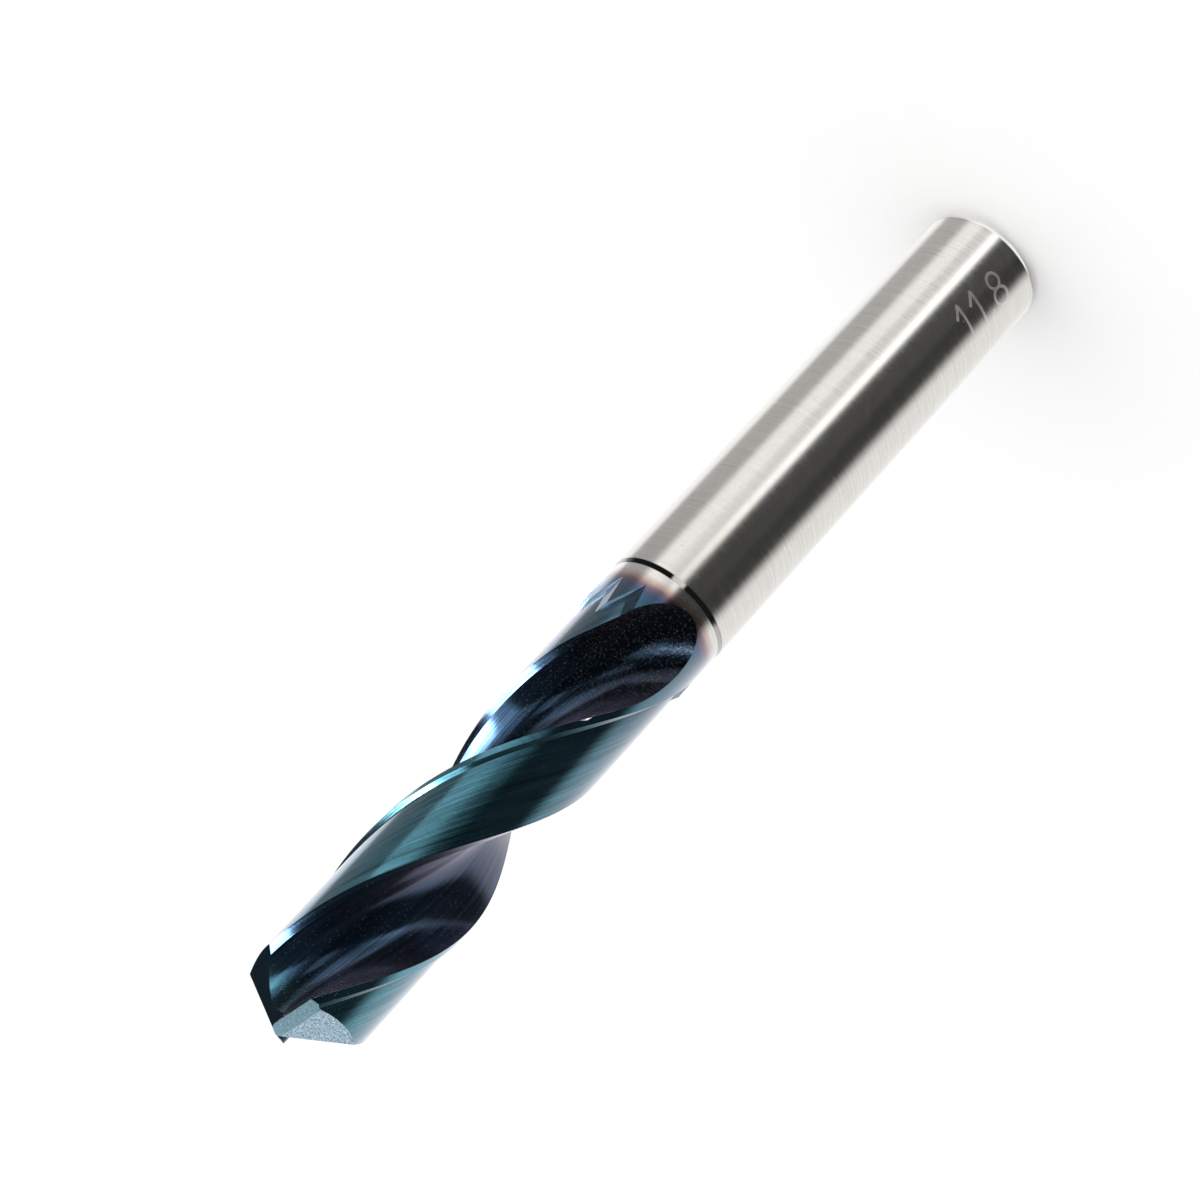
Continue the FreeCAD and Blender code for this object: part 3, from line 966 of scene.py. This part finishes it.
class Finishes:
    """Materials of the drill, made from the shared groups and the user's colours."""

    def __init__(self, shape, finish):
        self.shape = shape
        self.tints = {name: tuple(getattr(finish, name)) for name in DRILL_PG_finish.__annotations__}
        self.lines = lines_group()
        self.facet = facet_group()
        self.specks = specks_group()
        self.coating = coating_group(shape, self.tints)

    def metal(self, name, roughness):
        """A coated or bare metal that is coloured by its nodes."""
        return Metal(name, roughness, self.tints["middle"])

    def ground(self, metal, lines, twist=0.0):
        """Grinding lines around the drill or along its helix."""
        across, up = lines
        return metal.group(self.lines, {"Twist": twist, "Across": across, "Up": up})

    def speckled(self, metal, scale, share):
        """Mask of scattered specks."""
        return metal.group(self.specks, {"Scale": scale, "Share": share})

    def shank(self):
        """Bare shank with fine rings from centreless grinding and a few faint stains."""
        metal = self.metal("Ground carbide", 0.17)
        rings = self.ground(metal, RING_LINES)
        stain = metal.noise(260.0, 4.0, 0.7, metal.place())
        bare = self.tints["bare"]
        tone = metal.mixed(metal.ranged(rings, 0.3, 0.7, 0.0, 1.0), shade(bare, 0.86), bare)
        tone = metal.mixed(metal.ranged(stain, 0.62, 0.8, 0.0, 0.06), tone, STAIN)
        tone = metal.mixed(self.speckled(metal, SHANK_SPECKS, 0.03) * 0.2, tone, DARK_SPECK)
        metal.give({"Base Color": tone, "Roughness": metal.ranged(rings, 0.3, 0.7, 0.13, 0.23)})
        metal.grooves(rings, 0.0012 * MM)
        return metal.material

    def neck(self):
        """Round neck and margins, with the tinted edge of the coating and a polished bevel that carries a
        painted dark reflection.
        """
        metal = self.metal("Coated neck", 0.15)
        rings = self.ground(metal, RING_LINES)
        dark = metal.ranged(rings, 0.35, 0.65, 0.12, 0.0)
        tone = metal.mixed(dark, metal.group(self.coating), BLACK)
        tone = metal.low_angle(tone, self.tints["sheen"], 2.5)
        height = metal.parts(metal.place())[2]
        bevel = self.shape.shoulder + self.shape.sizes.shoulder_bevel
        on_bevel = metal.ranged(height, bevel - 0.02 * MM, bevel + 0.02 * MM, 1.0, 0.0)
        # Painted dark reflection: on the bevel the colour is mixed part way to black, standing in for the
        # dark room that it mirrors.
        tone = metal.mixed(on_bevel * 0.4, tone, BLACK)
        rough = metal.ranged(rings, 0.3, 0.7, 0.12, 0.2)
        metal.give({"Base Color": tone, "Roughness": rough * (1.0 - on_bevel * 0.65)})
        metal.grooves(rings, 0.001 * MM)
        return metal.material

    def land(self):
        """Land behind the margin, with lines along the helix and dark specks."""
        metal = self.metal("Coated land", 0.17)
        fine = self.ground(metal, LAND_LINES, self.shape.twist)
        broad = self.ground(metal, LAND_STREAKS, self.shape.twist)
        tone = metal.group(self.coating)
        for lines, most in ((fine, 0.45), (broad, 0.3)):
            tone = metal.mixed(metal.ranged(lines, 0.35, 0.6, most, 0.0), tone, BLACK)
        tone = metal.mixed(self.speckled(metal, LAND_SPECKS, 0.12) * 0.7, tone, DARK_SPECK)
        tone = metal.low_angle(tone, self.tints["sheen"], 2.5)
        rough = metal.ranged(fine, 0.3, 0.7, 0.13, 0.2)
        metal.give({"Base Color": tone, "Metallic": 0.98, "Roughness": rough})
        metal.grooves(fine, 0.001 * MM)
        return metal.material

    def flute(self):
        """Dark flute with long streaks along the helix and bright specks of the wheel, with painted shade
        towards the run-out and a painted glow near the tip.
        """
        metal = self.metal("Coated flute", 0.2)
        fine = self.ground(metal, FLUTE_LINES, self.shape.twist)
        broad = self.ground(metal, FLUTE_STREAKS, self.shape.twist)
        lines = fine * 0.7 + broad * 0.3
        base = self.tints["flute"]
        tone = metal.mixed(metal.ranged(lines, 0.4, 0.62, 0.0, 1.0), shade(base, 0.7), shade(base, 2.3))
        height = metal.parts(metal.place())[2]
        low = self.shape.shoulder
        tip = self.shape.sizes.overall_length
        near_tip = metal.ranged(height, tip - 5 * MM, tip - 3 * MM, 0.0, 1.0)
        # Painted shade: towards the run-out the flute's colour falls to a quarter, dimming what it mirrors
        # there.
        deep = metal.ranged(height, low + 7 * MM, low + 15 * MM, 0.25, 1.0)
        # Near the tip the flute is mixed towards a paler teal: partly the point's coating tint, partly a
        # painted glow of the tip.
        tone = metal.mixed(near_tip * 0.8, metal.scaled(tone, deep), shade(self.tints["point"], 0.35))
        tone = metal.low_angle(tone, self.tints["flute_sheen"], 2.0)
        share = metal.ranged(height, low + 9 * MM, low + 18 * MM, 0.25, 0.06)
        specks = self.speckled(metal, FLUTE_SPECKS, share)
        tone = metal.mixed(specks * 0.8, tone, BRIGHT_SPECK)
        rough = metal.ranged(lines, 0.35, 0.65, 0.11, 0.21)
        metal.give({"Base Color": tone, "Metallic": 0.93 - specks * 0.73, "Roughness": rough})
        metal.grooves(lines, 0.003 * MM)
        return metal.material

    def facetted(self, name, tint, sheen, roughness, turn, across, along, depth, contrast):
        """Coated facet of the point with straight lines."""
        metal = self.metal(name, roughness)
        lines = metal.group(self.facet, {"Turn": turn, "Across": across, "Along": along})
        dark, pale = (shade(self.tints[tint], 1 + part) for part in (-contrast, contrast))
        tone = metal.mixed(metal.ranged(lines, 0.35, 0.65, 0.0, 1.0), dark, pale)
        metal.give({"Base Color": metal.low_angle(tone, self.tints[sheen], 2.5)})
        metal.grooves(lines, depth * MM)
        return metal.material

    def wall(self):
        """Steep, rougher step between two grinding passes, paler and partly diffuse: partly its rougher
        grinding, partly a painted highlight of its edge.
        """
        metal = self.metal("Pass wall", 0.35)
        tone = metal.low_angle(self.tints["wall"], self.tints["sheen"], 3.0)
        metal.give({"Base Color": tone, "Metallic": 0.6})
        return metal.material

    def drill(self):
        """Material of each kind of face of the drill, by the name of the tree's input."""
        return {
            "Shank": self.shank(),
            "Neck": self.neck(),
            "Land": self.land(),
            "Flute": self.flute(),
            "Pass wall": self.wall(),
            "Chip": grainy("Broken carbide", 0.6, self.tints["grain"], 0.01 * MM),
            **{name: self.facetted(name, *values) for name, values in FACETS.items()},
        }


class DRILL_OT_grind(bpy.types.Operator):
    """Grind the coated drill from its blank in place of the plain frame part"""

    bl_idname = "drill.grind"
    bl_label = "Grind Drill"

    def execute(self, context):
        scene = context.scene
        shape = DrillShape(scene.drill_sizes)
        stops, outlines = shape.passes()
        helpers = {name: outline_object(name, points) for name, points in outlines.items()}
        values = {**helpers, **Finishes(shape, scene.drill_finish).drill()}
        mesh = baked_mesh("ground_drill", DrillTree(shape, stops).build(), values)
        if len(mesh.polygons) < FEWEST_FACES:
            raise RuntimeError("The drill's cutters left no drill")
        for helper in helpers.values():
            bpy.data.meshes.remove(helper.data)
        drill = bpy.data.objects.new("ground_drill", mesh)
        scene.collection.objects.link(drill)
        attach(drill, BODY)
        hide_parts(NODE)
        return {"FINISHED"}


# Strokes of plain digits: points from the left and from the foot, in parts of a digit's height, and
# whether the stroke is smooth and closed
STROKES = {
    "0": [([(0.3, 0), (0.58, 0.5), (0.3, 1), (0.02, 0.5)], True, True)],
    "1": [([(0.05, 0.68), (0.36, 1), (0.36, 0)], False, False)],
    "2": [([(0.05, 0.75), (0.3, 1), (0.55, 0.72), (0.04, 0), (0.58, 0)], False, False)],
    "3": [(
        [(0.05, 0.85), (0.32, 1), (0.52, 0.76), (0.25, 0.53), (0.56, 0.26), (0.3, 0), (0.02, 0.15)],
        True,
        False,
    )],
    "4": [([(0.44, 0), (0.44, 1), (0.02, 0.3), (0.6, 0.3)], False, False)],
    "5": [([(0.52, 1), (0.1, 1), (0.06, 0.55), (0.5, 0.55), (0.5, 0.05), (0.03, 0.03)], False, False)],
    "6": [([(0.5, 0.95), (0.04, 0.35), (0.3, 0), (0.56, 0.3), (0.3, 0.58), (0.04, 0.35)], True, False)],
    "7": [([(0.04, 1), (0.56, 1), (0.2, 0)], False, False)],
    "8": [
        ([(0.3, 0.5), (0.07, 0.72), (0.3, 0.95), (0.53, 0.72)], True, True),
        ([(0.3, 0), (0.58, 0.25), (0.3, 0.5), (0.02, 0.25)], True, True),
    ],
    "9": [([(0.1, 0.05), (0.56, 0.65), (0.3, 1), (0.04, 0.7), (0.3, 0.42), (0.56, 0.65)], True, False)],
    ".": [([(0.04, 0.08), (0.06, 0.1), (0.08, 0.08), (0.06, 0.06)], True, True)],
}

# Step after a point over the step after a digit, and points along a straight stroke
POINT_PITCH = 0.42
STROKE_STEPS = 24


class DRILL_PG_number(bpy.types.PropertyGroup):
    """Size number on the shank."""

    text: bpy.props.StringProperty(name="Number", description="Plain size number", default="11.8")
    height: length("Height", 3.4, "Height of the digits along the circumference")
    start: length("Start", 10.97, "Height above the shank end where the number starts")
    turn: angle("Turn", -29.8, "Where the feet of the digits are around the shank")
    width: factor("Width", 0.88, "Width of the digits")
    pitch: factor("Pitch", 0.615, "Step to the next digit over its height")
    slant: factor("Slant", 0.06, "Lean of the digits")
    stroke: length("Stroke", 0.15, "Half the width of a stroke")
    thickness: length("Thickness", 0.005, "How far the strokes stand off the shank")


class DRILL_OT_number(bpy.types.Operator):
    """Mark the plain size number on the shank"""

    bl_idname = "drill.number"
    bl_label = "Mark Number"

    def execute(self, context):
        scene = context.scene
        number = scene.drill_number
        radius = scene.drill_sizes.shank_diameter / 2
        mesh = self.flat_strokes(number)
        for vertex in mesh.vertices:
            turn = number.turn + vertex.co.y / radius - QUARTER_TURN
            off = radius + number.thickness * vertex.co.z / number.stroke
            vertex.co = polar(off, turn, number.start - vertex.co.x)
        mesh.flip_normals()
        mesh.shade_flat()
        mesh.materials.clear()
        mesh.materials.append(grainy("Etched number", 0.38, tuple(scene.drill_finish.etching), 0.003 * MM))
        piece = bpy.data.objects.new("size_number", mesh)
        scene.collection.objects.link(piece)
        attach(piece, BODY)
        return {"FINISHED"}

    def flat_strokes(self, number):
        """Round strokes of the number laid out flat, with its first foot at the origin."""
        lines = bpy.data.curves.new("size_number", "CURVE")
        lines.dimensions = "3D"
        lines.resolution_u = 10
        lines.bevel_depth = number.stroke
        lines.bevel_resolution = 1
        lines.use_fill_caps = True
        pen = 0.0
        for digit in number.text:
            if digit not in STROKES:
                raise RuntimeError("The number has a sign that isn't a digit or a point")
            for points, smooth, closed in STROKES[digit]:
                self.add_stroke(lines, number, points, pen, smooth, closed)
            pen += number.pitch * (POINT_PITCH if digit == "." else 1.0)
        return plain_mesh(bpy.data.objects.new("size_number", lines))

    def add_stroke(self, lines, number, points, pen, smooth, closed):
        """One stroke of a digit. Straight runs get points between, so that they follow the shank."""
        if not smooth:
            dense = []
            for first, last in zip(points, points[1:]):
                parts = [i / STROKE_STEPS for i in range(STROKE_STEPS)]
                dense += [tuple(a + (b - a) * part for a, b in zip(first, last)) for part in parts]
            points = dense + [points[-1]]
        spline = lines.splines.new("BEZIER")
        spline.bezier_points.add(len(points) - 1)
        spline.use_cyclic_u = closed
        spline.resolution_u = 10 if smooth else 1
        for knot, (x, y) in zip(spline.bezier_points, points):
            along = x * number.width + pen + y * number.slant
            knot.co = (along * number.height, y * number.height, 0.0)
            knot.handle_left_type = knot.handle_right_type = "AUTO" if smooth else "VECTOR"


# Cards, windows and lamps around the drill that its shiny faces mirror, the later ones in front:
# azimuth from -Y towards +X, half width, side softness, lowest and highest elevation, softness of these
# ends, all in degrees, and brightness
PANELS = {
    "table": (180, 180, 1, -120, -15, 12, 1.25),
    "table_left": (-130, 62, 14, -120, -2, 24, 1.10),
    "window": (-148, 36, 20, 24, 60, 16, 1.50),
    "back_wall": (140, 30, 20, 14, 60, 16, 0.22),
    "grey_card": (112, 27, 16, -120, -14, 10, 0.58),
    "grey_card_top": (108, 29, 5, -26, -12, 6, 0.34),
    "half_card": (47, 9, 6, -120, -29, 5, 0.90),
    "dark_card": (-22, 43, 28, -120, 6, 12, 0.055),
    "dark_card_foot": (-4, 20, 8, -60, -27, 6, 0.09),
    "dark_card_side": (17, 24, 32, -26, 4, 6, 0.02),
    "skirting": (40, 102, 14, -15, 1, 3, 0.02),
    "streak": (27, 6, 5, -43, -27, 5, 2.00),
    "gleam": (26, 12, 6, -9, -1, 3, 1.50),
    "lamp_glow": (56, 34, 14, 13, 32, 6, 3.0),
    "side_lamp": (19, 13, 8, 10, 26, 5, 3.6),
    "lamp": (58, 24, 6, 16, 21, 4, 52.0),
    "lamp_top": (44, 15, 5, 19, 31, 4, 52.0),
}
PANEL_ANGLES = ("Middle", "Half width", "Softness", "Low", "High", "End softness")


class DRILL_PG_stage(bpy.types.PropertyGroup):
    """Camera, floor and light."""

    aim: bpy.props.FloatVectorProperty(
        name="Aim",
        description="Point that the camera looks at",
        default=(0.0048015, 0.0007879, 0.0532334),
        subtype="TRANSLATION",
        precision=5,
    )
    azimuth: angle("Azimuth", 9.3013, "Camera from -Y towards +X")
    elevation: angle("Elevation", 26.221, "Camera above the horizon")
    distance: length("Distance", 311.154, "Camera to the point that it looks at")
    roll: angle("Roll", -137.1174, "Camera about its own axis")
    lens: factor("Lens", 107.1254, "Focal length in millimetres")
    dome: factor("Dome", 1.1, "Brightness of the pale sky")
    room: factor("Room", 0.13, "Brightness between the panels")
    floor_size: length("Floor", 4000.0, "Side of the floor")


def panel_group():
    """Shader group for one soft-edged panel of the studio in front of what is behind it."""
    names = ("Azimuth", "Elevation", *PANEL_ANGLES, "Behind", "Brightness")
    wires, given = new_group("Studio panel", SHADER_TREE, dict.fromkeys(names, 0.0), "Level", FLOAT)

    def inside(value, edge, softness):
        half = softness * 0.5
        inputs = {"Value": value, "From Min": edge + half, "From Max": edge - half}
        return wires.out("ShaderNodeMapRange", inputs, interpolation_type="SMOOTHSTEP")

    apart = wires.math("WRAP", given["Azimuth"] - given["Middle"], HALF_TURN, -HALF_TURN)
    sides = inside(wires.math("ABSOLUTE", apart), given["Half width"], given["Softness"])
    below = inside(given["Elevation"], given["High"], given["End softness"])
    beyond = inside(given["Elevation"], given["Low"], given["End softness"])
    mask = sides * below * (1.0 - beyond)
    inputs = {"Factor": mask, 2: given["Behind"], 3: given["Brightness"]}
    return wires.result(wires.out("ShaderNodeMix", inputs))


class DRILL_OT_stage(bpy.types.Operator):
    """Set the drill on a pale floor in soft studio light and place the camera"""

    bl_idname = "drill.stage"
    bl_label = "Set Stage"

    def execute(self, context):
        scene = context.scene
        stage = scene.drill_stage
        self.place_camera(scene, stage)
        self.light(scene, stage)
        half = stage.floor_size / 2
        mesh = bpy.data.meshes.new("studio_floor")
        corners = [(-half, -half, 0), (half, -half, 0), (half, half, 0), (-half, half, 0)]
        mesh.from_pydata(corners, [], [(0, 1, 2, 3)])
        material = bpy.data.materials.new("Studio floor")
        material.use_nodes = True
        paint = material.node_tree.nodes["Principled BSDF"]
        paint.inputs["Base Color"].default_value = (0.95, 0.95, 0.95, 1.0)
        paint.inputs["Roughness"].default_value = 0.9
        paint.inputs["Specular IOR Level"].default_value = 0.0
        mesh.materials.append(material)
        floor = bpy.data.objects.new("studio_floor", mesh)
        floor.visible_glossy = False
        scene.collection.objects.link(floor)
        return {"FINISHED"}

    def place_camera(self, scene, stage):
        """Camera of the photograph."""
        data = bpy.data.cameras.new("camera")
        data.lens = stage.lens
        data.sensor_width = 36.0
        data.clip_start = 0.01
        camera = bpy.data.objects.new("camera", data)
        around = Matrix.Rotation(stage.azimuth, 4, "Z")
        lean = Matrix.Rotation(QUARTER_TURN - stage.elevation, 4, "X")
        roll = Matrix.Rotation(stage.roll, 4, "Z")
        away = Matrix.Translation((0.0, 0.0, stage.distance))
        camera.matrix_world = Matrix.Translation(stage.aim) @ around @ lean @ roll @ away
        scene.collection.objects.link(camera)
        scene.camera = camera
        scene.view_settings.view_transform = "Standard"

    def light(self, scene, stage):
        """Pale sky over the floor, and the panels of the studio for what mirrors it."""
        world = bpy.data.worlds.new("studio")
        world.use_nodes = True
        world.cycles.sampling_method = "NONE"
        scene.world = world
        wires = Wiring(world.node_tree)
        x, y, z = wires.parts(wires.out("ShaderNodeTexCoord", output="Generated"))
        way = {"Azimuth": wires.math("ARCTAN2", x, -y), "Elevation": wires.math("ARCSINE", z)}
        panel = panel_group()
        level = stage.room
        for name, (*angles, brightness) in PANELS.items():
            sides = {key: math.radians(value) for key, value in zip(PANEL_ANGLES, angles)}
            inputs = {**way, **sides, "Behind": level, "Brightness": brightness}
            level = wires.group(panel, inputs, label=name)
        mirrored = wires.out("ShaderNodeLightPath", output="Is Glossy Ray")
        seen = wires.out("ShaderNodeMix", {"Factor": mirrored, 2: stage.dome, 3: level})
        sky = wires.out("ShaderNodeBackground", {"Color": (1.0, 1.0, 1.0, 1.0), "Strength": seen})
        wires.add("ShaderNodeOutputWorld", {"Surface": sky})


class DRILL_PT_panel(bpy.types.Panel):
    """Steps that make the drill"""

    bl_label = "Drill"
    bl_idname = "DRILL_PT_panel"
    bl_space_type = "VIEW_3D"
    bl_region_type = "UI"
    bl_category = "Drill"

    def draw(self, context):
        for step in STEPS:
            self.layout.operator(step.bl_idname)
        for name, group in GROUPS.items():
            box = self.layout.box()
            for key in group.__annotations__:
                box.prop(getattr(context.scene, name), key)


STEPS = (DRILL_OT_stage, DRILL_OT_grind, DRILL_OT_number)
GROUPS = {
    "drill_sizes": DRILL_PG_sizes,
    "drill_finish": DRILL_PG_finish,
    "drill_number": DRILL_PG_number,
    "drill_stage": DRILL_PG_stage,
}
CLASSES = (*GROUPS.values(), *STEPS, DRILL_PT_panel)


def register():
    """Make the settings, steps and panel known to Blender."""
    for item in CLASSES:
        bpy.utils.register_class(item)
    for name, group in GROUPS.items():
        setattr(bpy.types.Scene, name, bpy.props.PointerProperty(type=group))


def unregister():
    """Take them away again."""
    for name in GROUPS:
        delattr(bpy.types.Scene, name)
    for item in reversed(CLASSES):
        bpy.utils.unregister_class(item)


def main():
    """Make the drill and its stage."""
    register()
    bpy.ops.drill.stage()
    bpy.ops.drill.grind()
    bpy.ops.drill.number()


if __name__ == "__main__":
    main()
